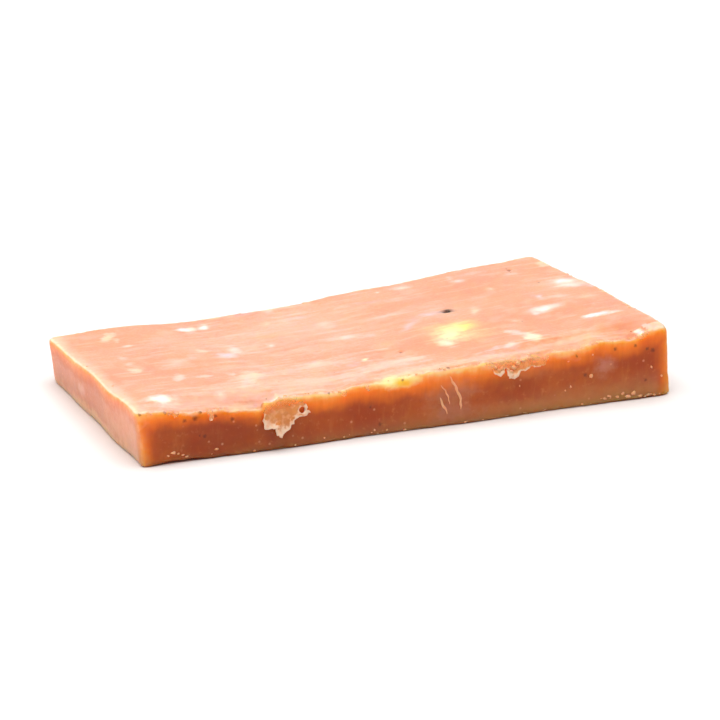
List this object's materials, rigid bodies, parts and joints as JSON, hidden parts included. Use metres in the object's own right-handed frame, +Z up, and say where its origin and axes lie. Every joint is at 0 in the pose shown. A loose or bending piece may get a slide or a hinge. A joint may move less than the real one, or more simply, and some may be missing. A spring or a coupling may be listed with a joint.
{
  "type": "soap bar",
  "caption": "Hand-cut slab of translucent soap with an uneven top, softened and worn edges and a torn flap on its front edge, for washing.",
  "frame": {"origin": "middle of the flat base, half the front edge's length from the left end and half the left end's depth from the front", "axes": "+X along the front edge, from the thin end to the thick end; +Y from the front wall to the back wall; +Z up from the base"},
  "size_m": [0.0937, 0.0472, 0.012],
  "materials": {
    "soap": "translucent salmon-brown soap with pale, yellow and dark chips cast in it, knife-dragged and waxy"
  },
  "bodies": {
    "root": {"soap_bar": "soap"}
  },
  "joints": []
}
